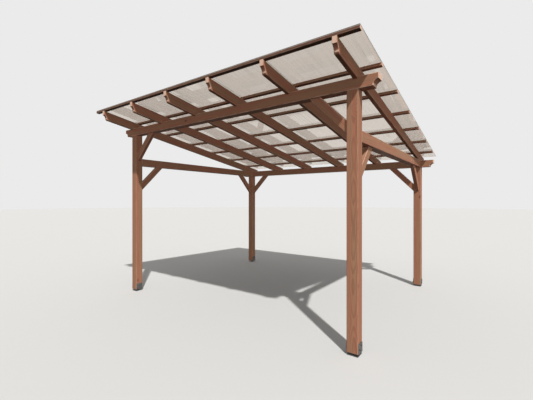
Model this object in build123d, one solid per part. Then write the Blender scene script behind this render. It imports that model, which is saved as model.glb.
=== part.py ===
from build123d import *
import os
from math import atan2, cos, degrees, sin, sqrt

# A timber pergola with a sloping see-through roof, open on all four sides.
# Two tall posts stand at the front and two shorter ones at the back, each in a
# steel shoe. A plate lies on each pair of posts, a side beam runs level from
# each front post to the rear plate, and knee braces stiffen the corners.
# Six rafters are notched over the plates and carry seven battens, and clear
# tinted panels lie on the battens as the roof.
# Millimetres. X runs to the right along the front, Y to the back, Z up.
# The origin is on the ground, in the middle of the roof's outline.

os.makedirs("parts", exist_ok=True)

# Posts
post_section = 120
frame_width = 4000
frame_depth = 3300
front_post_top = 2670
rear_post_top = 2155
stand_off = 30
post_arris = 4

# Plates and side beams, cut from one stock
beam_height = 120
plate_overhang = 200
plate_nose_foot = 62
plate_heel_inset = 54
plate_heel_radius = 8
beam_arris = 4

# Rafters
rafter_count = 6
rafter_thickness = 50
rafter_depth = 132
rafter_bite = 20
front_overhang = 510
rear_overhang = 200
rafter_nose_foot = 70
rafter_heel_inset = 42
rafter_heel_radius = 20
rafter_arris = 4

# Battens, laid flat across the rafters, from their front ends to just before the rear plate
batten_count = 7
last_batten_setback = 60
batten_width = 50
batten_thickness = 30
batten_overhang = 200
batten_arris = 2.5

# Clear roof panels, which lie on the battens and meet over the inner rafters
panel_thickness = 8
panel_gap = 3

# Knee braces at 45 degrees
brace_thickness = 60
brace_depth = 90
brace_leg = 435
brace_arris = 3

# Steel shoes, each a strip bent to a U and welded to a stub on a base plate
base_thickness = 8
base_corner_radius = 6
stub_radius = 24
strip_thickness = 6
strip_margin = 5
bend_radius = 5
cheek_height = 100
cheek_corner_radius = 20
anchor_spacing = 84
anchor_radius = 6
driver_radius = 11

# Bolts across each post's foot
bolt_bore_radius = 5.5
lower_bolt_height = 35
upper_bolt_height = 70
bolt_stagger = 20

# Places that follow from the sizes above
roof_run = front_overhang + frame_depth + rear_overhang
left_face = -frame_width / 2
right_face = frame_width / 2
front_face = front_overhang - roof_run / 2
rear_face = front_face + frame_depth
behind_front_post = front_face + post_section
before_rear_post = rear_face - post_section
front_plate_top = front_post_top + beam_height
rear_plate_top = rear_post_top + beam_height
slope = (front_plate_top - rear_plate_top) / (before_rear_post - front_face)
pitch = atan2(slope, 1)


def write(name, solid):
    """Writes one named piece and says how large it is."""
    solid.label = name
    export_step(solid, f"parts/{name}.step")
    print(name, round(solid.volume / 1e6, 2), "litres")


def block(x0, x1, y0, y1, z0, z1):
    """A box between two corners."""
    box = Box(x1 - x0, y1 - y0, z1 - z0)
    return Pos((x0 + x1) / 2, (y0 + y1) / 2, (z0 + z1) / 2) * box


def eased(solid, size):
    """The same timber with its long arrises taken off."""
    longest = max(edge.length for edge in solid.edges())
    long_edges = [edge for edge in solid.edges() if edge.length > longest / 2]
    return chamfer(long_edges, size)


def eased_outline(solid, axis, size):
    """The same timber with the arrises of its two shaped side faces taken off all round."""
    sides = solid.faces().sort_by(axis)
    return chamfer(sides[0].edges() + sides[-1].edges(), size)


def tail_outline(length, height, nose_foot, heel_inset, heel_radius, fall=0):
    """Side view of a timber with a shaped tail at each end.

    Each tail has a plumb nose above a hollow, and the hollow runs back into a
    rounded heel on the underside. The middle of the underside is at zero, and
    the timber drops to the right by fall for each unit of its run.
    """

    def at(along, up):
        return (along, up - fall * along)

    half = length / 2
    heel = half - heel_inset
    toe = heel - heel_radius
    lines = [Polyline(at(-half, nose_foot), at(-half, height), at(half, height), at(half, nose_foot))]
    lines += [Line(at(-toe, 0), at(toe, 0))]
    for side in (-1, 1):
        heel_arc = TangentArc(at(side * toe, 0), at(side * heel, heel_radius), tangent=at(side, 0))
        hollow = TangentArc(heel_arc @ 1, at(side * half, nose_foot), tangent=heel_arc % 1)
        lines += [heel_arc, hollow]
    return make_face(lines)


def bolt_bores(x, y):
    """The two bores across the foot of the post at x, y, set apart so that they don't split it."""
    middle_x = x + post_section / 2
    middle_y = y + post_section / 2
    length = post_section + 4 * strip_thickness
    bore = Rot(0, 90, 0) * Cylinder(bolt_bore_radius, length)
    lower = Pos(middle_x, middle_y - bolt_stagger, stand_off + lower_bolt_height) * bore
    upper = Pos(middle_x, middle_y + bolt_stagger, stand_off + upper_bolt_height) * bore
    return lower, upper


def post(x, y, top):
    """A square post whose left front corner is at x, y."""
    solid = eased(block(x, x + post_section, y, y + post_section, stand_off, top), post_arris)
    for bore in bolt_bores(x, y):
        solid -= bore
    return solid


def saddle(x, y):
    """The bent strip of a shoe: a floor under the end grain and a cheek up each side of the post."""
    left = x - strip_thickness
    right = x + post_section + strip_thickness
    front = y + strip_margin
    rear = y + post_section - strip_margin
    top = stand_off + cheek_height
    strip = block(left, right, front, rear, stand_off - strip_thickness, top)
    strip = fillet(strip.edges().filter_by(Axis.Y).group_by(Axis.Z)[0], bend_radius)
    strip -= block(x, x + post_section, front, rear, stand_off, top)
    return fillet(strip.edges().filter_by(Axis.X).group_by(Axis.Z)[-1], cheek_corner_radius)


def shoe(x, y):
    """The steel shoe under the post at x, y.

    A base plate carries a short round stub, and the stub carries the saddle.
    The saddle has an access hole above each anchor hole.
    """
    middle_x = x + post_section / 2
    middle_y = y + post_section / 2
    saddle_foot = stand_off - strip_thickness
    stub_height = saddle_foot - base_thickness
    base = block(x, x + post_section, y, y + post_section, 0, base_thickness)
    solid = fillet(base.edges().filter_by(Axis.Z), base_corner_radius)
    solid += Pos(middle_x, middle_y, base_thickness + stub_height / 2) * Cylinder(stub_radius, stub_height)
    solid += saddle(x, y)
    for bore in bolt_bores(x, y):
        solid -= bore
    anchor = Cylinder(anchor_radius, stand_off)
    driver = Cylinder(driver_radius, stand_off)
    for spot in GridLocations(anchor_spacing, anchor_spacing, 2, 2):
        solid -= Pos(middle_x, middle_y, 0) * spot * anchor
        solid -= Pos(middle_x, middle_y, saddle_foot + stand_off / 2) * spot * driver
    return solid


def plate(y, underside):
    """A plate across two posts, its front face at y, with shaped tails."""
    length = frame_width + 2 * plate_overhang
    outline = tail_outline(length, beam_height, plate_nose_foot, plate_heel_inset, plate_heel_radius)
    solid = extrude(Plane.XZ * outline, -post_section)
    return Pos(0, y, underside) * eased_outline(solid, Axis.Y, beam_arris)


def side_beam(x):
    """A level beam from a front post to the rear plate, its left face at x."""
    beam = block(x, x + post_section, behind_front_post, before_rear_post, rear_post_top, rear_plate_top)
    return eased(beam, beam_arris)


def rafter(x):
    """A sloping rafter on edge, centred on x, with shaped tails.

    It is notched level over both plates. The outer rafters run down on to the
    side beams, so they are cut level there too.
    """
    underside = front_plate_top - rafter_bite + slope * front_face
    tail = (rafter_nose_foot, rafter_heel_inset, rafter_heel_radius)
    outline = tail_outline(roof_run, rafter_depth, *tail, slope)
    solid = extrude(Plane.YZ * outline, rafter_thickness / 2, both=True)
    solid = Pos(x, 0, underside) * eased_outline(solid, Axis.X, rafter_arris)
    left = x - rafter_thickness
    right = x + rafter_thickness
    solid -= block(left, right, front_face, behind_front_post, front_post_top, front_plate_top)
    rear_seat = before_rear_post
    if abs(x) > right_face - post_section:
        rear_seat = behind_front_post
    return solid - block(left, right, rear_seat, rear_face, rear_post_top, rear_plate_top)


def batten(front):
    """A batten across all rafters, its lower front edge at y = front, lying on their tops."""
    seat = front_plate_top - rafter_bite + rafter_depth - slope * (front - front_face)
    length = frame_width + 2 * batten_overhang
    half = batten_width / 2
    solid = Pos(0, half, batten_thickness / 2) * Box(length, batten_width, batten_thickness)
    return Pos(0, front, seat) * Rot(-degrees(pitch), 0, 0) * eased(solid, batten_arris)


def roof_panel(left, right):
    """A flat panel on the battens between two places along the roof.

    It starts over the first batten's front face, and its upper rear edge ends
    in line with the rafters' rear noses.
    """
    seat = front_plate_top - rafter_bite + rafter_depth + slope * front_overhang
    lean = (batten_thickness + panel_thickness) * sin(pitch)
    length = (roof_run - lean) / cos(pitch)
    underside = batten_thickness
    solid = block(left, right, 0, length, underside, underside + panel_thickness)
    return Pos(0, -roof_run / 2, seat) * Rot(-degrees(pitch), 0, 0) * solid


def brace(corner, towards):
    """A knee brace in the corner between a post and the beam above it.

    It leans from the post in the direction given, its foot cut plumb against
    the post and its head cut level under the beam.
    """
    inner_leg = brace_leg - brace_depth * sqrt(2)
    corners = [(0, -brace_leg), (brace_leg, 0), (inner_leg, 0), (0, -inner_leg)]
    outline = make_face(Polyline(*corners, close=True))
    upright = Vector(0, 0, 1)
    plane = Plane(origin=corner, x_dir=towards, z_dir=Vector(*towards).cross(upright))
    return plane * eased(extrude(outline, brace_thickness / 2, both=True), brace_arris)


left_post = left_face
right_post = right_face - post_section
half_post = post_section / 2
sides = [
    ("left", left_post, left_post + post_section, 1),
    ("right", right_post, right_post, -1),
]
rows = [
    ("front", front_face, front_post_top),
    ("rear", before_rear_post, rear_post_top),
]

for row, y, top in rows:
    write(f"{row}_plate", plate(y, top))
    for side, x, inner_face, inward in sides:
        write(f"post_{row}_{side}", post(x, y, top))
        write(f"shoe_{row}_{side}", shoe(x, y))
        write(f"plate_brace_{row}_{side}", brace((inner_face, y + half_post, top), (inward, 0, 0)))

for side, x, inner_face, inward in sides:
    write(f"side_beam_{side}", side_beam(x))
    front_corner = (x + half_post, behind_front_post, rear_post_top)
    rear_corner = (x + half_post, before_rear_post, rear_post_top)
    write(f"beam_brace_front_{side}", brace(front_corner, (0, 1, 0)))
    write(f"beam_brace_rear_{side}", brace(rear_corner, (0, -1, 0)))

first_rafter = left_face + rafter_thickness / 2
rafter_spacing = (frame_width - rafter_thickness) / (rafter_count - 1)
for number in range(rafter_count):
    write(f"rafter_{number + 1}", rafter(first_rafter + rafter_spacing * number))

first_batten = -roof_run / 2
batten_spacing = (before_rear_post - last_batten_setback - first_batten) / (batten_count - 1)
for number in range(batten_count):
    write(f"batten_{number + 1}", batten(first_batten + batten_spacing * number))

roof_left = left_face - batten_overhang
roof_right = right_face + batten_overhang
seams = [first_rafter + rafter_spacing * number for number in range(1, rafter_count - 1)]
starts = [roof_left] + [seam + panel_gap / 2 for seam in seams]
ends = [seam - panel_gap / 2 for seam in seams] + [roof_right]
for number, (left, right) in enumerate(zip(starts, ends)):
    write(f"roof_panel_{number + 1}", roof_panel(left, right))
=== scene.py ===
# %% [markdown]
# # A stained timber pergola
#
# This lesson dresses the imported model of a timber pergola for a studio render. The solids already have
# their true outlines: posts, plates, side beams, knee braces, notched rafters, battens and clear roof
# panels, and a steel shoe under each post. So the work here is in two parts. The first is the finish: a
# stained softwood that knows which way each timber's grain runs, a galvanised steel and a tinted clear
# sheet. The second is the ironmongery: bolts through the shoes, weld beads, and the screws that hold the
# rafters, the braces and the panels. Sizes are in metres, and a colour is red, green, blue and one.

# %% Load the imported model
import bmesh
import bpy
import math
import random
from mathutils import Matrix, Vector


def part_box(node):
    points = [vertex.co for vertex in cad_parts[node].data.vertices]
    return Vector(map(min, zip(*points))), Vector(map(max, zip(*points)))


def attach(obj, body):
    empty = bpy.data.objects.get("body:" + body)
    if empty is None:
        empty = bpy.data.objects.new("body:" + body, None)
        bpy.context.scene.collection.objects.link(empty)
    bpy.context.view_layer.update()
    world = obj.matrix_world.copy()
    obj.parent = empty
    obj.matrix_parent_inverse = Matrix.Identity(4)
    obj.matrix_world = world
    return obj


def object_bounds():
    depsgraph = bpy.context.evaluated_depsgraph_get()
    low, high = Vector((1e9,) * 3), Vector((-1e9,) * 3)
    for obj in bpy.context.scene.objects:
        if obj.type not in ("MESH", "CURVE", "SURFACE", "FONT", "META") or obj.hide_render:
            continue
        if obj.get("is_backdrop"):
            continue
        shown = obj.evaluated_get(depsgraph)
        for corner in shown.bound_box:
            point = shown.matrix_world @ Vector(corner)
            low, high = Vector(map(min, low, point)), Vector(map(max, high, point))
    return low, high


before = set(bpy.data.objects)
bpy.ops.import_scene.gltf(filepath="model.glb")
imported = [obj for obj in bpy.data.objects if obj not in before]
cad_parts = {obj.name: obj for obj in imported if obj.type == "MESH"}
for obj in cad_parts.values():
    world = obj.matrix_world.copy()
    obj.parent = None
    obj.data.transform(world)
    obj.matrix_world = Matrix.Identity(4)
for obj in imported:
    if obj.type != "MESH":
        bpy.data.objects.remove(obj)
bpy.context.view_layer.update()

# %% What the model holds
def nodes_with(word):
    """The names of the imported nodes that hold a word, in order."""
    return sorted(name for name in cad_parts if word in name)


shoes = nodes_with("shoe")
panels = nodes_with("roof_panel")
timbers = [name for name in sorted(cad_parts) if name not in shoes + panels]
print("timbers:", len(timbers), "shoes:", len(shoes), "roof panels:", len(panels))

# %% [markdown]
# ## Where each timber lies
#
# Wood looks right only when its grain runs along the timber, so every timber gets axes of its own: one
# along the grain, one across and one up. Posts stand, plates and battens run from left to right, side beams
# run from front to back, and rafters do the same but fall towards the back. A knee brace leans at 45
# degrees. The fall of the roof is measured on the two plates, because the rafters and the battens both
# follow it.

# %% The fall of the roof
front_plate_low, front_plate_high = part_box("front_plate")
rear_plate_low, rear_plate_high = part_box("rear_plate")
drop = front_plate_high.z - rear_plate_high.z
run = rear_plate_low.y - front_plate_low.y
roof_pitch = math.atan2(drop, run)
print("roof pitch in degrees:", round(math.degrees(roof_pitch), 2))

# %% Axes of the timbers
RIGHT = Vector((1, 0, 0))
BACK = Vector((0, 1, 0))
UP = Vector((0, 0, 1))
DOWN_ROOF = Vector((0, math.cos(roof_pitch), -math.sin(roof_pitch)))
OFF_ROOF = RIGHT.cross(DOWN_ROOF)


def brace_axes(name):
    """A brace leans away from its post: to the side under a plate, to the back or front under a beam."""
    if name.startswith("plate_brace"):
        lean = RIGHT if name.endswith("left") else -RIGHT
    else:
        lean = BACK if "front" in name else -BACK
    along = (lean + UP).normalized()
    across = lean.cross(UP)
    return along, across, along.cross(across)


def timber_axes(name):
    """Unit vectors along the grain, across the timber and up through it."""
    if name.startswith("post"):
        return UP, RIGHT, BACK
    if name.startswith("side_beam"):
        return BACK, RIGHT, UP
    if name.startswith("rafter"):
        return DOWN_ROOF, RIGHT, OFF_ROOF
    if name.startswith("batten"):
        return RIGHT, DOWN_ROOF, OFF_ROOF
    if "brace" in name:
        return brace_axes(name)
    return RIGHT, BACK, UP


print("away from the roof:", [round(v, 3) for v in OFF_ROOF])

# %% Middle and section of a timber
def timber_section(name):
    """The timber's middle, and half its size across and up, measured along its own axes."""
    points = [vertex.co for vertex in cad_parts[name].data.vertices]
    middle = Vector()
    halves = []
    for axis in timber_axes(name):
        places = [point.dot(axis) for point in points]
        middle += axis * (max(places) + min(places)) / 2
        halves.append((max(places) - min(places)) / 2)
    return middle, halves[1], halves[2]


for name in ("post_front_left", "rafter_3", "batten_4", "plate_brace_front_left"):
    middle, half_across, half_up = timber_section(name)
    print(name, "section:", round(half_across * 2, 3), "by", round(half_up * 2, 3))

# %% [markdown]
# ## The stained softwood
#
# The real timber is planed softwood under a red-brown stain. Up close it shows growth rings, which come out
# as long flames on the faces and as arcs on the sawn ends, knots that the rings flow round, long streaks
# where the stain took differently, fine fibres, and pale arrises, partly stain wear and partly a painted
# highlight. An image would stretch over such long pieces and would not meet itself at the corners. So the
# wood is made solid: rings round a heart that wanders along the timber, cut by whatever surface the timber
# has. One node group holds the pattern and every timber shares it.

# %% Helpers for numbers and places
def wire(tree, value, socket):
    """Joins a node's output to a socket, or sets the socket to a plain number or vector."""
    if isinstance(value, bpy.types.NodeSocket):
        tree.links.new(value, socket)
    else:
        socket.default_value = value


def calc(tree, operation, *values):
    """A Math node."""
    node = tree.nodes.new("ShaderNodeMath")
    node.operation = operation
    for value, socket in zip(values, node.inputs):
        wire(tree, value, socket)
    return node.outputs["Value"]


def vector_calc(tree, operation, *values):
    """A Vector Math node. A length or a dot product comes out as a number, and the rest as a vector."""
    node = tree.nodes.new("ShaderNodeVectorMath")
    node.operation = operation
    for value, socket in zip(values, node.inputs):
        wire(tree, value, socket)
    return node.outputs["Value" if operation in ("LENGTH", "DOT_PRODUCT") else "Vector"]


def combined(tree, *values):
    """Three numbers as one place."""
    node = tree.nodes.new("ShaderNodeCombineXYZ")
    for value, socket in zip(values, node.inputs):
        wire(tree, value, socket)
    return node.outputs["Vector"]


def parts_of(tree, value, kind="XYZ"):
    """The three numbers of a place, or of a colour."""
    node = tree.nodes.new(f"ShaderNodeSeparate{kind}")
    wire(tree, value, node.inputs[0])
    return node.outputs


print("helpers for numbers and places ready")

# %% Helpers for tones and textures
SEED_SHIFT = (1.0, 1.7, 2.3)


def ease(tree, value, low, high, to_low=0.0, to_high=1.0):
    """A smooth step from to_low to to_high as value goes from low to high."""
    node = tree.nodes.new("ShaderNodeMapRange")
    node.interpolation_type = "SMOOTHSTEP"
    wire(tree, value, node.inputs["Value"])
    wire(tree, low, node.inputs["From Min"])
    wire(tree, high, node.inputs["From Max"])
    wire(tree, to_low, node.inputs["To Min"])
    wire(tree, to_high, node.inputs["To Max"])
    return node.outputs["Result"]


def blend(tree, amount, first, second, kind="MIX"):
    """A Mix node for colours."""
    node = tree.nodes.new("ShaderNodeMix")
    node.data_type = "RGBA"
    node.blend_type = kind
    wire(tree, amount, node.inputs["Factor"])
    wire(tree, first, node.inputs["A"])
    wire(tree, second, node.inputs["B"])
    return node.outputs["Result"]


def stretched(tree, place, scale, seed):
    """The place stretched by three factors and shifted by the seed, for a texture to read."""
    shift = combined(tree, *(calc(tree, "MULTIPLY", seed, factor) for factor in SEED_SHIFT))
    return vector_calc(tree, "MULTIPLY_ADD", place, scale, shift)


def cloudy(tree, vector, detail=2.0, roughness=0.5, output="Fac"):
    """A Noise texture at scale one, read at an already stretched place."""
    node = tree.nodes.new("ShaderNodeTexNoise")
    node.inputs["Scale"].default_value = 1.0
    node.inputs["Detail"].default_value = detail
    node.inputs["Roughness"].default_value = roughness
    wire(tree, vector, node.inputs["Vector"])
    return node.outputs[output]


def cells(tree, vector, scale):
    """A Voronoi texture, which gives each cell a colour of its own and tells how far its middle is."""
    node = tree.nodes.new("ShaderNodeTexVoronoi")
    node.inputs["Scale"].default_value = scale
    wire(tree, vector, node.inputs["Vector"])
    return node.outputs


print("helpers for tones and textures ready")

# %% [markdown]
# ### Rings and knots
#
# The distance from the heart, divided by the width of one year's growth, counts the rings. Its fraction
# runs from pale early wood to dark late wood and drops back sharply, as in pine. A cell pattern stretched
# along the grain places the knots. Only about one cell in five grows one, because this is a clean grade of
# timber, and near a knot the distance is pushed outwards so that the rings bend round it. In the values of
# a pattern, three numbers are its repeats in a metre along, across and up the timber, and a pair is where a
# smooth step starts and ends.

# %% What the pattern takes and gives
pattern = bpy.data.node_groups.new("stained_softwood", "ShaderNodeTree")
for title, kind in (
    ("Place", "NodeSocketVector"),
    ("Heart", "NodeSocketVector"),
    ("Seed", "NodeSocketFloat"),
    ("Edge", "NodeSocketFloat"),
    ("Arris", "NodeSocketFloat"),
    ("Sawn end", "NodeSocketFloat"),
    ("Arris paling", "NodeSocketFloat"),
    ("Stain tint", "NodeSocketColor"),
):
    pattern.interface.new_socket(title, in_out="INPUT", socket_type=kind)
for title, kind in (
    ("Color", "NodeSocketColor"),
    ("Roughness", "NodeSocketFloat"),
    ("Height", "NodeSocketFloat"),
):
    pattern.interface.new_socket(title, in_out="OUTPUT", socket_type=kind)
given = pattern.nodes.new("NodeGroupInput").outputs
place, seed = given["Place"], given["Seed"]


def grain_noise(scale, detail=2.0, roughness=0.5, output="Fac"):
    """Noise stretched along the timber, by three factors per metre: along, across and up."""
    return cloudy(pattern, stretched(pattern, place, scale, seed), detail, roughness, output)


def part(value, amount):
    """So much of a value: the two multiplied."""
    return calc(pattern, "MULTIPLY", value, amount)


print("the pattern takes:", ", ".join(socket.name for socket in given if socket.name))

# %% A heart that wanders
HEART_DRIFT = (1.3, 0.0, 0.0)
HEART_SWAY = 0.05


def wandering_radius():
    """Distance from a heart that wanders slowly along the timber."""
    sway = grain_noise(HEART_DRIFT, output="Color")
    reach = (0.0, HEART_SWAY, HEART_SWAY)
    back = (0.0, -HEART_SWAY / 2, -HEART_SWAY / 2)
    centred = vector_calc(pattern, "MULTIPLY_ADD", sway, reach, back)
    from_heart = vector_calc(pattern, "SUBTRACT", place, given["Heart"])
    bent = vector_calc(pattern, "ADD", from_heart, centred)
    flat = vector_calc(pattern, "MULTIPLY", bent, (0.0, 1.0, 1.0))
    return vector_calc(pattern, "LENGTH", flat)


heart_distance = wandering_radius()
print("a heart that sways by", HEART_SWAY / 2, "m to either side")

# %% Rings and knots
RING_WIDTH = 0.0048
RING_RIPPLE = 0.7
RIPPLE_GRAIN = (5.0, 70.0, 70.0)
EARLY_TO_LATE = (0.3, 0.9)
END_OF_RING = (1.0, 0.94)
KNOT_CELLS = (3.4, 7.0, 7.0)
CELLS_WITH_KNOT = (0.24, 0.20)
KNOT_RIM = (0.13, 0.07)
FLOW_RIM = (0.36, 0.04)
FLOW_PUSH = 0.013

knots = cells(pattern, stretched(pattern, place, KNOT_CELLS, seed), 1.0)
to_knot = knots["Distance"]
grown = ease(pattern, parts_of(pattern, knots["Color"], "Color")[0], *CELLS_WITH_KNOT)
knot = part(ease(pattern, to_knot, *KNOT_RIM), grown)
flow = part(ease(pattern, to_knot, *FLOW_RIM, 0.0, FLOW_PUSH), grown)
ripple = part(grain_noise(RIPPLE_GRAIN, 3.0), RING_RIPPLE)
ring_count = calc(pattern, "DIVIDE", calc(pattern, "ADD", heart_distance, flow), RING_WIDTH)
ring = calc(pattern, "FRACT", calc(pattern, "ADD", ring_count, ripple))
late_wood = part(ease(pattern, ring, *EARLY_TO_LATE), ease(pattern, ring, *END_OF_RING))
print("rings and knots wired:", len(pattern.nodes), "nodes")

# %% [markdown]
# ### Stain, fibres, wear and painted highlights
#
# The stain is a mix of a redder and a more olive brown in streaks a few centimetres wide and a metre or so
# long, as on the posts, with darker lines in the late wood and dark knots. Near an arris the wood is paled
# in patches, partly as stain wear and partly as a painted highlight along the arris. A sawn end is paler
# too, and dries into small cracks that run out from the heart.

# %% Stained faces
RED_STAIN = (0.42, 0.175, 0.108, 1.0)
OLIVE_STAIN = (0.37, 0.205, 0.120, 1.0)
DARK_STAIN = (0.170, 0.072, 0.043, 1.0)
KNOT_STAIN = (0.110, 0.046, 0.028, 1.0)
BROAD_GRAIN = (0.7, 24.0, 24.0)
STREAK_GRAIN = (1.8, 110.0, 110.0)
FIBRE_GRAIN = (16.0, 900.0, 900.0)
RED_TO_OLIVE = (0.35, 0.65)
DARK_STREAKS = (0.5, 0.8)
DARK_FIBRES = (0.3, 0.75)
STREAK_DEPTH = 0.55
LATE_WOOD_DEPTH = 0.34
FIBRE_DEPTH = 0.16
KNOT_DEPTH = 0.6

broad = grain_noise(BROAD_GRAIN, 3.0)
streak = grain_noise(STREAK_GRAIN, 3.0, 0.6)
fibre = grain_noise(FIBRE_GRAIN)
color = blend(pattern, ease(pattern, broad, *RED_TO_OLIVE), RED_STAIN, OLIVE_STAIN)
color = blend(pattern, ease(pattern, streak, *DARK_STREAKS, 0.0, STREAK_DEPTH), color, DARK_STAIN)
color = blend(pattern, part(late_wood, LATE_WOOD_DEPTH), color, DARK_STAIN)
color = blend(pattern, ease(pattern, fibre, *DARK_FIBRES, 0.0, FIBRE_DEPTH), color, DARK_STAIN)
color = blend(pattern, part(knot, KNOT_DEPTH), color, KNOT_STAIN)
color = blend(pattern, 1.0, color, given["Stain tint"], "MULTIPLY")
print("stain wired:", len(pattern.nodes), "nodes")

# %% Pale arrises: stain wear and painted highlight
BARE_WOOD = (0.80, 0.56, 0.43, 1.0)
PATCH_GRAIN = (9.0, 60.0, 60.0)
PALE_ARRIS_PATCHES = (0.30, 0.60)
NEAR_ARRIS = (0.009, 0.003)
NEAR_ARRIS_PALING = 0.5

# Pale wood in patches on and near the arrises: partly stain wear, partly a painted highlight along each
# arris.
pale_patches = ease(pattern, grain_noise(PATCH_GRAIN, 3.0, 0.6), *PALE_ARRIS_PATCHES)
near_arris = ease(pattern, given["Edge"], *NEAR_ARRIS, 0.0, NEAR_ARRIS_PALING)
wear_and_highlight = part(calc(pattern, "MAXIMUM", near_arris, given["Arris"]), pale_patches)
color = blend(pattern, part(wear_and_highlight, given["Arris paling"]), color, BARE_WOOD)
print("wear wired:", len(pattern.nodes), "nodes")

# %% Sawn ends
END_LATE_WOOD = (0.50, 0.28, 0.18, 1.0)
END_RING_DEPTH = 0.45
CRACKS_ROUND = 5.0
CRACKS_ALONG = 3.0
CRACK_LINE = (0.020, 0.006)
CRACK_DEPTH = 0.5
END_BARENESS = 0.92


def drying_cracks():
    """Thin cracks that run out from the heart across a sawn end."""
    spot = parts_of(pattern, place)
    heart = parts_of(pattern, given["Heart"])
    aside = calc(pattern, "SUBTRACT", spot["Y"], heart["Y"])
    above = calc(pattern, "SUBTRACT", spot["Z"], heart["Z"])
    turn = part(calc(pattern, "ARCTAN2", aside, above), CRACKS_ROUND)
    spread = cloudy(pattern, combined(pattern, turn, part(spot["X"], CRACKS_ALONG), seed))
    off_line = calc(pattern, "ABSOLUTE", calc(pattern, "SUBTRACT", spread, 0.5))
    return ease(pattern, off_line, *CRACK_LINE)


end_grain = blend(pattern, part(late_wood, END_RING_DEPTH), BARE_WOOD, END_LATE_WOOD)
end_grain = blend(pattern, part(drying_cracks(), CRACK_DEPTH), end_grain, DARK_STAIN)
color = blend(pattern, part(given["Sawn end"], END_BARENESS), color, end_grain)
print("sawn ends wired:", len(pattern.nodes), "nodes")

# %% Sheen and relief
SHEEN_STREAKS = (0.2, 0.8)
STAIN_ROUGHNESS = (0.52, 0.68)
LATE_WOOD_HEIGHT = 0.35
FIBRE_HEIGHT = 0.5
KNOT_HEIGHT = 0.4

height = calc(pattern, "ADD", part(late_wood, LATE_WOOD_HEIGHT), part(fibre, FIBRE_HEIGHT))
height = calc(pattern, "ADD", height, part(knot, KNOT_HEIGHT))
results = pattern.nodes.new("NodeGroupOutput").inputs
wire(pattern, color, results["Color"])
wire(pattern, ease(pattern, streak, *SHEEN_STREAKS, *STAIN_ROUGHNESS), results["Roughness"])
wire(pattern, height, results["Height"])
print("stained softwood:", len(pattern.nodes), "nodes")

# %% [markdown]
# ### One finish for each timber
#
# Each timber's finish turns the place on the object into a place along its own grain, with three dot
# products, and hands that to the shared group with a heart and a seed of its own. So no two timbers are
# alike. The distance to the nearest arris comes from the timber's section. The sawn ends and the narrow
# faces of the eased arrises are found by their normals: an end looks straight along the grain, and an eased
# arris leans halfway between its side and its neighbour. The hollows of the tails look neither way, so they
# keep their stain.
#
# The timbers are not all finished alike. The arrises of the plates are paled most and those of the posts
# least; this paling is partly stain wear and partly a painted highlight. The first batten's stain is tinted
# darker and greyer.

# %% Pale arrises and tint of each timber
UNTINTED_STAIN = (1.0, 1.0, 1.0, 1.0)
# A darker, greyer tint laid over the first batten's stain.
DARKER_GREYER_TINT = (0.34, 0.38, 0.42, 1.0)
# How pale each timber's arrises are made: partly stain wear, partly a painted highlight.
POST_ARRIS_PALING = 0.14
PLATE_ARRIS_PALING = 0.8
FIRST_BATTEN_ARRIS_PALING = 0.35
USUAL_ARRIS_PALING = 0.45


def arris_paling_and_tint(name):
    """How pale the arrises are made, as stain wear and painted highlight, and a tint over the whole stain.
    """
    if name == "batten_1":
        return FIRST_BATTEN_ARRIS_PALING, DARKER_GREYER_TINT
    if name.startswith("post"):
        return POST_ARRIS_PALING, UNTINTED_STAIN
    if name.endswith("plate"):
        return PLATE_ARRIS_PALING, UNTINTED_STAIN
    return USUAL_ARRIS_PALING, UNTINTED_STAIN


print("first batten:", arris_paling_and_tint("batten_1"))

# %% Helpers for a finish
def blank_finish(name):
    """A new material, with its node tree and its shader."""
    material = bpy.data.materials.new(name)
    material.use_nodes = True
    return material, material.node_tree, material.node_tree.nodes["Principled BSDF"]


def own_place(tree):
    """The place on the object itself."""
    return tree.nodes.new("ShaderNodeTexCoord").outputs["Object"]


def facing(tree, axis):
    """How squarely a face looks along an axis, either way, from nought to one."""
    flat_normal = tree.nodes.new("ShaderNodeNewGeometry").outputs["True Normal"]
    return calc(tree, "ABSOLUTE", vector_calc(tree, "DOT_PRODUCT", flat_normal, axis))


def give_finish(piece, finish):
    """Makes a finish the only one of a piece."""
    piece.data.materials.clear()
    piece.data.materials.append(finish)


print("finish helpers ready")

# %% Grain and faces of one timber
LOOKS_ALONG_GRAIN = (0.90, 0.975)
OFF_DIAGONAL = (0.2, 0.1)
HEART_REACH = (0.5, 1.3)
LAST_SEED = 90


def lay_grain(tree, wood, name, chance):
    """Gives the pattern its place along the grain, a heart and a seed, and the distance to an arris."""
    middle, half_across, half_up = timber_section(name)
    spot = own_place(tree)
    reaches = []
    for axis in timber_axes(name):
        reach = vector_calc(tree, "DOT_PRODUCT", spot, axis)
        reaches.append(calc(tree, "SUBTRACT", reach, middle.dot(axis)))
    along, across, up = reaches
    wire(tree, combined(tree, along, across, up), wood.inputs["Place"])
    angle = chance.uniform(0, 2 * math.pi)
    away = chance.uniform(*HEART_REACH) * max(half_across, half_up)
    wood.inputs["Heart"].default_value = (0.0, math.cos(angle) * away, math.sin(angle) * away)
    wood.inputs["Seed"].default_value = chance.uniform(0, LAST_SEED)
    from_side = calc(tree, "SUBTRACT", half_across, calc(tree, "ABSOLUTE", across))
    from_top = calc(tree, "SUBTRACT", half_up, calc(tree, "ABSOLUTE", up))
    wire(tree, calc(tree, "MAXIMUM", from_side, from_top), wood.inputs["Edge"])


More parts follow.
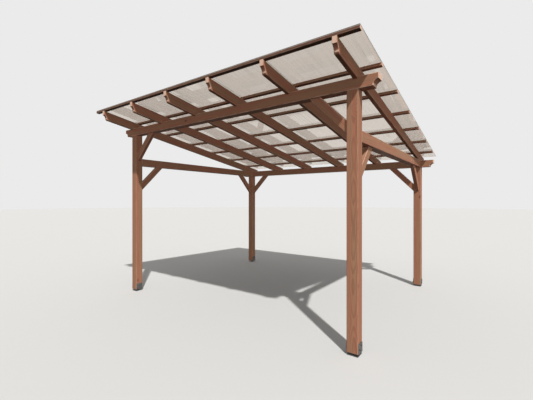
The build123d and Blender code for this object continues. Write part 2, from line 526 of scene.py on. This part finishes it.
def find_faces(tree, wood, name):
    """Tells the pattern which faces are sawn ends and which are eased arrises."""
    along, across, _ = timber_axes(name)
    wire(tree, ease(tree, facing(tree, along), *LOOKS_ALONG_GRAIN), wood.inputs["Sawn end"])
    off_diagonal = calc(tree, "ABSOLUTE", calc(tree, "SUBTRACT", facing(tree, across), math.sqrt(0.5)))
    wire(tree, ease(tree, off_diagonal, *OFF_DIAGONAL), wood.inputs["Arris"])


print("grain helpers ready")

# %% Stain every timber
GRAIN_SEED = 11
BUMP_STRENGTH = 0.5
GRAIN_DEPTH = 0.0006
STAIN_SHINE = 0.04


def timber_finish(name, chance):
    """The stained softwood, laid along this timber's grain."""
    material, tree, shader = blank_finish(f"stained_{name}")
    wood = tree.nodes.new("ShaderNodeGroup")
    wood.node_tree = pattern
    wood.inputs["Arris paling"].default_value, wood.inputs["Stain tint"].default_value = arris_paling_and_tint(name)
    lay_grain(tree, wood, name, chance)
    find_faces(tree, wood, name)
    bump = tree.nodes.new("ShaderNodeBump")
    bump.inputs["Strength"].default_value = BUMP_STRENGTH
    bump.inputs["Distance"].default_value = GRAIN_DEPTH
    wire(tree, wood.outputs["Height"], bump.inputs["Height"])
    wire(tree, wood.outputs["Color"], shader.inputs["Base Color"])
    wire(tree, wood.outputs["Roughness"], shader.inputs["Roughness"])
    wire(tree, bump.outputs["Normal"], shader.inputs["Normal"])
    shader.inputs["Specular IOR Level"].default_value = STAIN_SHINE
    return material


chance = random.Random(GRAIN_SEED)
for name in timbers:
    give_finish(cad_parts[name], timber_finish(name, chance))
print("stained timbers:", len(timbers))

# %% [markdown]
# ## The galvanised steel
#
# The shoes are hot-dip galvanised: a zinc coat that froze in flat crystals a centimetre or so wide, each of
# them a little lighter or darker. It has weathered to a dark, slightly warm grey, with a paler bloom where
# water has stood. Cells give the crystals and slow noise gives the bloom. The bolts are galvanised like the
# shoes. The screws have a thin yellow zinc plating, which time has dulled to a brownish grey, so they
# hardly show in the stained timber.

# %% Zinc-coated steel
BLOOM_SIZE = (38.0, 38.0, 22.0)
BLOOM_SEED = 3.0
BLOOM_TONE = (0.5, 0.72)
BLOOM_DEPTH = 0.5
BLOOM_SHEEN = (0.3, 0.75)
BLOOM_DULLING = 0.25
STEEL_METALLIC = 0.85


def steel_finish(name, dark, pale, dull, crystal, roughness):
    """Zinc-coated steel with crystals of the given size, from a dark to a pale tone, under a dull bloom."""
    material, tree, shader = blank_finish(name)
    spot = own_place(tree)
    grey = parts_of(tree, cells(tree, spot, 1.0 / crystal)["Color"], "Color")[0]
    bloom = cloudy(tree, stretched(tree, spot, BLOOM_SIZE, BLOOM_SEED), 4.0, 0.6)
    color = blend(tree, grey, dark, pale)
    color = blend(tree, ease(tree, bloom, *BLOOM_TONE, 0.0, BLOOM_DEPTH), color, dull)
    sheen = ease(tree, bloom, *BLOOM_SHEEN, roughness, roughness + BLOOM_DULLING)
    wire(tree, color, shader.inputs["Base Color"])
    wire(tree, sheen, shader.inputs["Roughness"])
    shader.inputs["Metallic"].default_value = STEEL_METALLIC
    return material


print("steel finish ready")

# %% Galvanised shoes and plated screws
DARK_ZINC = (0.100, 0.096, 0.090, 1.0)
PALE_ZINC = (0.180, 0.174, 0.165, 1.0)
DULL_ZINC = (0.270, 0.265, 0.255, 1.0)
ZINC_CRYSTAL = 0.011
ZINC_ROUGHNESS = 0.42
DARK_PLATING = (0.165, 0.130, 0.095, 1.0)
PALE_PLATING = (0.250, 0.200, 0.145, 1.0)
DULL_PLATING = (0.280, 0.250, 0.215, 1.0)
PLATING_CRYSTAL = 0.004
PLATING_ROUGHNESS = 0.28

zinc = (DARK_ZINC, PALE_ZINC, DULL_ZINC)
plating = (DARK_PLATING, PALE_PLATING, DULL_PLATING)
galvanised = steel_finish("galvanised_steel", *zinc, ZINC_CRYSTAL, ZINC_ROUGHNESS)
plated = steel_finish("plated_steel", *plating, PLATING_CRYSTAL, PLATING_ROUGHNESS)
for name in shoes:
    give_finish(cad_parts[name], galvanised)
print("galvanised shoes:", len(shoes))

# %% [markdown]
# ## The clear roof
#
# The panels are a solid clear sheet with a bronze tint, so whatever lies behind them looks a little darker
# and warmer. A closed slab with full transmission does this: light is tinted where it goes in and where it
# comes out. Rain leaves faint streaks of dust that run down the fall, which scatter a little light. The cut
# edges show the tint of the whole sheet, so they look darker and duller than the face.

# %% Bronze clear sheet
SHEET_TINT = (0.75, 0.675, 0.60, 1.0)
DUST = (0.55, 0.50, 0.44, 1.0)
CUT_EDGE = (0.13, 0.095, 0.075, 1.0)
RAIN_STREAKS = (38.0, 0.9, 0.9)
RAIN_SEED = 5.0
RAIN_TONE = (0.40, 0.85)
DUST_FILM = (2.2, 1.6, 1.6)
DUST_SEED = 9.0
DUST_TONE = (0.30, 0.75)
DUST_DEPTH = 0.3
DUST_COVER = 0.10
LOOKS_ASIDE = (0.9, 0.5)
CLEAR_ROUGHNESS = 0.02
DUSTY_ROUGHNESS = 0.14
CUT_ROUGHNESS = 0.3
CUT_COVER = 0.6
SHEET_IOR = 1.5


def clear_sheet():
    """A tinted see-through sheet with rain streaks down the fall and duller cut edges."""
    material, tree, shader = blank_finish("bronze_clear_sheet")
    spot = own_place(tree)
    rain = cloudy(tree, stretched(tree, spot, RAIN_STREAKS, RAIN_SEED))
    film = cloudy(tree, stretched(tree, spot, DUST_FILM, DUST_SEED), 3.0)
    dusty = calc(tree, "MULTIPLY", ease(tree, rain, *RAIN_TONE), ease(tree, film, *DUST_TONE))
    cut = ease(tree, facing(tree, OFF_ROOF), *LOOKS_ASIDE)
    color = blend(tree, calc(tree, "MULTIPLY", dusty, DUST_DEPTH), SHEET_TINT, DUST)
    wire(tree, blend(tree, cut, color, CUT_EDGE), shader.inputs["Base Color"])
    rough = ease(tree, dusty, 0.0, 1.0, CLEAR_ROUGHNESS, DUSTY_ROUGHNESS)
    rough = calc(tree, "ADD", rough, calc(tree, "MULTIPLY", cut, CUT_ROUGHNESS))
    wire(tree, rough, shader.inputs["Roughness"])
    dust_cover = calc(tree, "MULTIPLY", dusty, DUST_COVER)
    opaque = calc(tree, "MAXIMUM", dust_cover, calc(tree, "MULTIPLY", cut, CUT_COVER))
    wire(tree, calc(tree, "SUBTRACT", 1.0, opaque), shader.inputs["Transmission Weight"])
    shader.inputs["IOR"].default_value = SHEET_IOR
    return material


bronze_sheet = clear_sheet()
for name in panels:
    give_finish(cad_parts[name], bronze_sheet)
print("clear panels:", len(panels))

# %% [markdown]
# ## The ironmongery
#
# Every piece of it repeats, so each kind is modelled once, standing on the origin and pointing up, and then
# copied to its places. The shapes are turned or forged, which a cylinder starts well: a six-sided one
# becomes a bolt head or a nut when its rims are bevelled, and a round one becomes a washer or a screw head.
# A copy gets its own mesh, and its place is applied to that mesh, so the object itself stays at the origin.

# %% Selecting in code
def deselect_all():
    """Leaves edit mode and clears the selection, which the loaded solids start out in."""
    if bpy.context.mode != "OBJECT":
        bpy.ops.object.mode_set(mode="OBJECT")
    bpy.ops.object.select_all(action="DESELECT")


def pick(kind, rule):
    """In edit mode, selects vertices or faces whose middle passes the rule, or edges whose ends both do."""
    bpy.ops.mesh.select_mode(type=kind)
    bpy.ops.mesh.select_all(action="DESELECT")
    mesh = bmesh.from_edit_mesh(bpy.context.object.data)
    if kind == "VERT":
        chosen = [vertex for vertex in mesh.verts if rule(vertex.co)]
    elif kind == "EDGE":
        chosen = [edge for edge in mesh.edges if all(rule(vertex.co) for vertex in edge.verts)]
    else:
        chosen = [face for face in mesh.faces if rule(face.calc_center_median())]
    for element in chosen:
        element.select = True
    mesh.select_flush_mode()
    bmesh.update_edit_mesh(bpy.context.object.data)


def nearest_ray(spot, rays):
    """The number of the ray that a spot lies nearest, of so many spread evenly round the Z axis."""
    return round(math.atan2(spot.y, spot.x) / (2 * math.pi) * rays)


print("selecting helpers ready")

# %% Turning and joining
def bar(sides, radius, foot, top):
    """A plain bar of so many sides round the Z axis, from foot to top, left in edit mode."""
    deselect_all()
    middle = (0, 0, (foot + top) / 2)
    bpy.ops.mesh.primitive_cylinder_add(vertices=sides, radius=radius, depth=top - foot, location=middle)
    bpy.ops.object.transform_apply(location=True)
    bpy.ops.object.mode_set(mode="EDIT")


def turned(sides, radius, foot, top, soft):
    """A bar with both its rims bevelled."""
    bar(sides, radius, foot, top)
    near = (top - foot) / 10
    for at_rim in (lambda spot: spot.z > top - near, lambda spot: spot.z < foot + near):
        pick("EDGE", at_rim)
        bpy.ops.mesh.bevel(offset=soft, segments=2)
    bpy.ops.object.mode_set(mode="OBJECT")
    return bpy.context.object


def joined(pieces, name):
    """The pieces as one object."""
    deselect_all()
    for piece in pieces:
        piece.select_set(True)
    bpy.context.view_layer.objects.active = pieces[0]
    if len(pieces) > 1:
        bpy.ops.object.join()
    pieces[0].name = name
    pieces[0].data.name = name
    return pieces[0]


print("turning helpers ready")

# %% Laying and fitting
SMOOTH_DEGREES = 35


def laid(pattern_piece, spot, pointing):
    """A copy with its own mesh, whose foot is at a spot and whose top points in a direction."""
    deselect_all()
    copy = pattern_piece.copy()
    copy.data = pattern_piece.data.copy()
    bpy.context.scene.collection.objects.link(copy)
    turn = Vector(pointing).to_track_quat("Z", "Y").to_matrix().to_4x4()
    copy.matrix_world = Matrix.Translation(spot) @ turn
    copy.select_set(True)
    bpy.context.view_layer.objects.active = copy
    bpy.ops.object.transform_apply(location=True, rotation=True, scale=True)
    return copy


def fitted(pieces, name, finish):
    """Joins copies into one named piece, gives it its finish and lets it ride on the pergola."""
    piece = joined(pieces, name)
    give_finish(piece, finish)
    deselect_all()
    piece.select_set(True)
    bpy.ops.object.shade_smooth_by_angle(angle=math.radians(SMOOTH_DEGREES))
    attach(piece, "root")


print("fitting helpers ready")

# %% [markdown]
# ### Bolts through the shoes
#
# Two M10 bolts cross each post's foot and both cheeks of its shoe. The head and a washer bear on the outer
# cheek, and a washer and a nut hold the inner one, with a few turns of thread standing out. The thread is a
# run of short extrusions that narrow and widen by turns, which reads as ridges at this size.

# %% Sizes of a bolt
BOLT_RADIUS = 0.005
BOLT_SIDES = 24
WASHER_RADIUS = 0.010
WASHER_SIDES = 32
WASHER_THICKNESS = 0.002
WASHER_RIM = 0.0003
HALF_FLATS = 0.0085
HEAD_SIDES = 6
HEAD_CORNER = HALF_FLATS / math.cos(math.pi / HEAD_SIDES)
HEAD_HEIGHT = 0.0064
HEAD_RIM = 0.0009
NUT_HEIGHT = 0.008
THREAD_TURNS = 4
THREAD_WAIST = 0.84
THREAD_PITCH = 0.0015
TIP_INSET = 0.0006
TIP_RISE = 0.0005

shoe_low, shoe_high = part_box("shoe_front_right")
grip = shoe_high.x - shoe_low.x
nut_foot = -grip - WASHER_THICKNESS
nut_end = nut_foot - NUT_HEIGHT
print("grip:", round(grip, 3), "length under the head:", round(-nut_end, 3))

# %% One bolt with its washers and nut
def threaded_end():
    """The bolt's shank, with its last turns standing out of the nut."""
    bar(BOLT_SIDES, BOLT_RADIUS, nut_end, WASHER_THICKNESS)
    pick("FACE", lambda spot: spot.z < nut_end + THREAD_PITCH / 4)
    for _ in range(THREAD_TURNS):
        for waist in (THREAD_WAIST, 1 / THREAD_WAIST):
            bpy.ops.mesh.extrude_region_move(TRANSFORM_OT_translate={"value": (0, 0, -THREAD_PITCH / 2)})
            bpy.ops.transform.resize(value=(waist, waist, 1), center_override=(0, 0, 0))
    bpy.ops.mesh.inset(thickness=TIP_INSET, depth=TIP_RISE)
    bpy.ops.object.mode_set(mode="OBJECT")
    return bpy.context.object


head = turned(HEAD_SIDES, HEAD_CORNER, WASHER_THICKNESS, WASHER_THICKNESS + HEAD_HEIGHT, HEAD_RIM)
outer_washer = turned(WASHER_SIDES, WASHER_RADIUS, 0, WASHER_THICKNESS, WASHER_RIM)
inner_washer = turned(WASHER_SIDES, WASHER_RADIUS, nut_foot, -grip, WASHER_RIM)
nut = turned(HEAD_SIDES, HEAD_CORNER, nut_end, nut_foot, HEAD_RIM)
bolt = joined([head, outer_washer, inner_washer, nut, threaded_end()], "bolt_pattern")
print("bolt faces:", len(bolt.data.polygons))

# %% Bolts in every shoe
LOWER_BOLT = 0.065
UPPER_BOLT = 0.100
BOLT_STAGGER = 0.020

for shoe in shoes:
    low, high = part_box(shoe)
    outward = 1 if low.x > 0 else -1
    face = high.x if outward > 0 else low.x
    middle_y = (low.y + high.y) / 2
    places = [(face, middle_y - BOLT_STAGGER, LOWER_BOLT), (face, middle_y + BOLT_STAGGER, UPPER_BOLT)]
    pair = [laid(bolt, spot, (outward, 0, 0)) for spot in places]
    fitted(pair, shoe.replace("shoe", "bolts"), galvanised)
bpy.data.objects.remove(bolt)
print("bolts:", 2 * len(shoes))

# %% [markdown]
# ### Weld beads on the stubs
#
# Each shoe's round stub is welded to the base plate below and to the saddle above. A hand-laid bead is a
# ring with ripples. A profile could be swept round the stub, but a thin torus is that ring already, so one
# is taken and every third of its rings is drawn in a little.

# %% Weld beads
STUB_RADIUS = 0.024
BEAD_RADIUS = 0.0032
BEAD_RINGS = 60
BEAD_SIDES = 10
RINGS_TO_RIPPLE = 3
RIPPLE_DEPTH = 0.0007
LOWER_BEAD = 0.0085
UPPER_BEAD = 0.0235

deselect_all()
bpy.ops.mesh.primitive_torus_add(
    major_radius=STUB_RADIUS, minor_radius=BEAD_RADIUS, major_segments=BEAD_RINGS, minor_segments=BEAD_SIDES
)
bead = bpy.context.object
bpy.ops.object.mode_set(mode="EDIT")
pick("VERT", lambda spot: nearest_ray(spot, BEAD_RINGS) % RINGS_TO_RIPPLE == 0)
bpy.ops.transform.shrink_fatten(value=-RIPPLE_DEPTH)
bpy.ops.object.mode_set(mode="OBJECT")
for shoe in shoes:
    low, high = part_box(shoe)
    middle = ((low.x + high.x) / 2, (low.y + high.y) / 2)
    rings = [laid(bead, (*middle, level), UP) for level in (LOWER_BEAD, UPPER_BEAD)]
    fitted(rings, shoe.replace("shoe", "welds"), galvanised)
bpy.data.objects.remove(bead)
print("weld beads:", 2 * len(shoes))

# %% [markdown]
# ### Screws in the timber and through the roof
#
# Long screws pin each rafter to both plates from above, and two more hold each knee brace, one near either
# end of its lower face. Their heads are flat discs with a star recess. The roof panels are held down
# through every batten by low screws, each with a washer that seals the hole. All of them are the same
# turned disc with a recess, at two sizes.

# %% The star recess
DISC_SIDES = 24
RAYS_TO_CORNER = 4
RECESS_INSET = 0.45
RECESS_REACH = 0.55
RECESS_WAIST = 0.72
RECESS_DEPTH = 0.7
HAIR = 0.00005


def near_axis(spot, level, reach):
    """Whether a spot lies above a level and within reach of the Z axis."""
    return spot.z > level and spot.xy.length < reach


def cut_star(radius, height):
    """Sinks a star in the top of a disc: an inset, six corners drawn in, and the middle pushed down."""
    level = height - HAIR
    bpy.ops.object.mode_set(mode="EDIT")
    pick("FACE", lambda spot: near_axis(spot, level, radius / 2))
    bpy.ops.mesh.inset(thickness=radius * RECESS_INSET)
    pick("VERT", lambda spot: near_axis(spot, level, radius * RECESS_REACH)
         and nearest_ray(spot, DISC_SIDES) % RAYS_TO_CORNER == 0)
    bpy.ops.transform.resize(value=(RECESS_WAIST, RECESS_WAIST, 1), center_override=(0, 0, 0))
    pick("FACE", lambda spot: near_axis(spot, level, radius / 10))
    bpy.ops.mesh.extrude_region_move(TRANSFORM_OT_translate={"value": (0, 0, -height * RECESS_DEPTH)})
    bpy.ops.object.mode_set(mode="OBJECT")


print("corners of the star:", DISC_SIDES // RAYS_TO_CORNER)

# %% A screw head
COLLAR_SIDES = 28
COLLAR_SHARE = 0.45
COLLAR_RIM = 0.0003
DISC_RIM = 0.0004
SUNK = 0.0005
TIMBER_SCREW_RADIUS = 0.007
TIMBER_SCREW_HEIGHT = 0.0012


def screw_head(radius, height, collar=None):
    """A low round head with a star recess, on a collar if one is given, and with its foot sunk a little."""
    pieces = []
    if collar:
        pieces.append(turned(COLLAR_SIDES, collar, -SUNK, height * COLLAR_SHARE, COLLAR_RIM))
    pieces.append(turned(DISC_SIDES, radius, -SUNK, height, DISC_RIM))
    cut_star(radius, height)
    return joined(pieces, "screw_pattern")


timber_screw = screw_head(TIMBER_SCREW_RADIUS, TIMBER_SCREW_HEIGHT)
print("screw faces:", len(timber_screw.data.polygons))

# %% Screws in the rafters
def top_at(highest, peak, line):
    """The height of a face that falls with the roof, at a line behind its highest edge."""
    return highest - (line - peak) * math.tan(roof_pitch)


rafters = nodes_with("rafter")
for row in ("front", "rear"):
    plate_low, plate_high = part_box(f"{row}_plate")
    line = (plate_low.y + plate_high.y) / 2
    heads = []
    for name in rafters:
        low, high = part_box(name)
        spot = ((low.x + high.x) / 2, line, top_at(high.z, low.y, line))
        heads.append(laid(timber_screw, spot, OFF_ROOF))
    fitted(heads, f"rafter_screws_{row}", plated)
print("rafter screws:", 2 * len(rafters))

# %% Screws in the braces
SCREW_FROM_END = 0.060

braces = nodes_with("brace")
for name in braces:
    along = timber_axes(name)[0]
    low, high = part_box(name)
    middle = (low + high) / 2
    lean = Vector((along.x, along.y, 0)).normalized()
    to_end = (lean + UP) * (high.z - low.z) / 2
    spots = [middle - to_end + along * SCREW_FROM_END, middle + to_end - along * SCREW_FROM_END]
    heads = [laid(timber_screw, spot, (lean - UP).normalized()) for spot in spots]
    fitted(heads, f"screws_{name}", plated)
bpy.data.objects.remove(timber_screw)
print("brace screws:", 2 * len(braces))

# %% Screws through the roof panels
PANEL_SCREW_RADIUS = 0.0048
PANEL_SCREW_HEIGHT = 0.0028
SEALING_WASHER = 0.009
PANEL_SCREW_INSET = 0.045
BATTEN_HALF_WIDTH = 0.025
BATTEN_THICKNESS = 0.030
PANEL_THICKNESS = 0.008


def panel_screw_spots(panel, line):
    """Three places on a panel's top face at a line across the roof: near both sides and in the middle."""
    low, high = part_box(panel)
    top = top_at(high.z, low.y + PANEL_THICKNESS * math.sin(roof_pitch), line)
    across = (low.x + PANEL_SCREW_INSET, (low.x + high.x) / 2, high.x - PANEL_SCREW_INSET)
    return [(x, line, top) for x in across]


panel_screw = screw_head(PANEL_SCREW_RADIUS, PANEL_SCREW_HEIGHT, SEALING_WASHER)
battens = nodes_with("batten")
for number, name in enumerate(battens, start=1):
    set_back = (BATTEN_THICKNESS + PANEL_THICKNESS) * math.sin(roof_pitch)
    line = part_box(name)[0].y + BATTEN_HALF_WIDTH * math.cos(roof_pitch) + set_back
    spots = [spot for panel in panels for spot in panel_screw_spots(panel, line)]
    heads = [laid(panel_screw, spot, OFF_ROOF) for spot in spots]
    fitted(heads, f"panel_screws_row_{number}", plated)
bpy.data.objects.remove(panel_screw)
print("rows of panel screws:", len(battens), "with", len(heads), "in each")

# %% [markdown]
# ## Floor, light and camera
#
# The floor is plain and pale and reaches far enough to meet the pale background, but the light that bounces
# off it is that of dark ground, so the undersides stay dark as they do outdoors. One lamp stands high at
# the front right. Its direction was measured from the shadows on the posts and on the ground in the
# photograph. The sky and a low, weak lamp without shadows fill the shade a little. Together they light the
# posts' outer faces at a strength of about one, so a colour renders about as it is written.
#
# Light that bends through the clear roof is left out, so the roof casts a full shadow. A camera could be
# placed by eye, but then the render would not lie over the photograph. So its place, tilt, heading and lens
# were worked out from the straight edges of the frame.

# %% Floor
PALE_FLOOR = (0.60, 0.59, 0.57, 1.0)
BOUNCE_FLOOR = (0.006, 0.005, 0.004, 1.0)
FLOOR_ROUGHNESS = 0.9
FLOOR_RADIUS = 60


def seen_plainly(tree):
    """One where the eye looks: straight, in a reflection or through a clear sheet. Nought elsewhere."""
    rays = tree.nodes.new("ShaderNodeLightPath").outputs
    indirect = calc(tree, "MAXIMUM", rays["Is Glossy Ray"], rays["Is Transmission Ray"])
    return calc(tree, "MAXIMUM", rays["Is Camera Ray"], indirect)


def floor_finish():
    """Plain and pale to the eye, and dark to the light that bounces off it."""
    material, tree, shader = blank_finish("pale_floor")
    seen = blend(tree, seen_plainly(tree), BOUNCE_FLOOR, PALE_FLOOR)
    wire(tree, seen, shader.inputs["Base Color"])
    shader.inputs["Roughness"].default_value = FLOOR_ROUGHNESS
    return material


deselect_all()
bpy.ops.mesh.primitive_circle_add(vertices=64, radius=FLOOR_RADIUS, fill_type="NGON", location=(0, 0, 0))
floor = bpy.context.object
floor.name = "studio_floor"
give_finish(floor, floor_finish())
floor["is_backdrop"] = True
print("floor radius:", FLOOR_RADIUS)

# %% Sky
WHITE = (1.0, 1.0, 1.0, 1.0)
SKY_STRENGTH = 0.36
SEEN_SKY = 0.83

sky = bpy.data.worlds.new("studio_sky")
bpy.context.scene.world = sky
sky.use_nodes = True
background = sky.node_tree.nodes["Background"]
background.inputs["Color"].default_value = WHITE
sky_light = ease(sky.node_tree, seen_plainly(sky.node_tree), 0.0, 1.0, SKY_STRENGTH, SEEN_SKY)
wire(sky.node_tree, sky_light, background.inputs["Strength"])
print("sky:", SKY_STRENGTH)

# %% Lamps
SUN_DIRECTION = (0.494, -0.406, 0.769)
SUN_STRENGTH = 3.7
SUN_SOFTNESS = 1.5
FILL_DIRECTION = (0.75, -0.66, 0.13)
FILL_STRENGTH = 1.0
FILL_SOFTNESS = 12
LAMP_DISTANCE = 12


def lamp(name, direction, strength, softness, shadows):
    """A lamp far away in a direction, with a disc of so many degrees."""
    bpy.ops.object.light_add(type="SUN", location=Vector(direction) * LAMP_DISTANCE)
    light = bpy.context.object
    light.name = name
    light.data.energy = strength
    light.data.angle = math.radians(softness)
    light.data.use_shadow = shadows
    light.rotation_euler = Vector(direction).to_track_quat("Z", "Y").to_euler()


lamp("studio_lamp", SUN_DIRECTION, SUN_STRENGTH, SUN_SOFTNESS, True)
lamp("studio_fill", FILL_DIRECTION, FILL_STRENGTH, FILL_SOFTNESS, False)
bpy.context.scene.cycles.caustics_refractive = False
print("lamp:", SUN_STRENGTH, "fill:", FILL_STRENGTH)

# %% Camera
CAMERA_SPOT = (3.1132, -4.5632, 1.5698)
CAMERA_TILT = math.radians(89.914)
CAMERA_HEADING = 0.6293
SENSOR_WIDTH = 36.0
FOCAL_LENGTH = 21.391
FARTHEST_SEEN = 200

bpy.ops.object.camera_add(location=CAMERA_SPOT, rotation=(CAMERA_TILT, 0, CAMERA_HEADING))
camera = bpy.context.object
camera.name = "photo_camera"
camera.data.sensor_width = SENSOR_WIDTH
camera.data.lens = FOCAL_LENGTH
camera.data.clip_end = FARTHEST_SEEN
bpy.context.scene.camera = camera
bpy.context.scene.view_settings.view_transform = "Standard"
print("camera height:", camera.location.z)

# %% [markdown]
# ## Size
#
# The box round the dressed model is measured.

# %% Sizes
low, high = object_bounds()
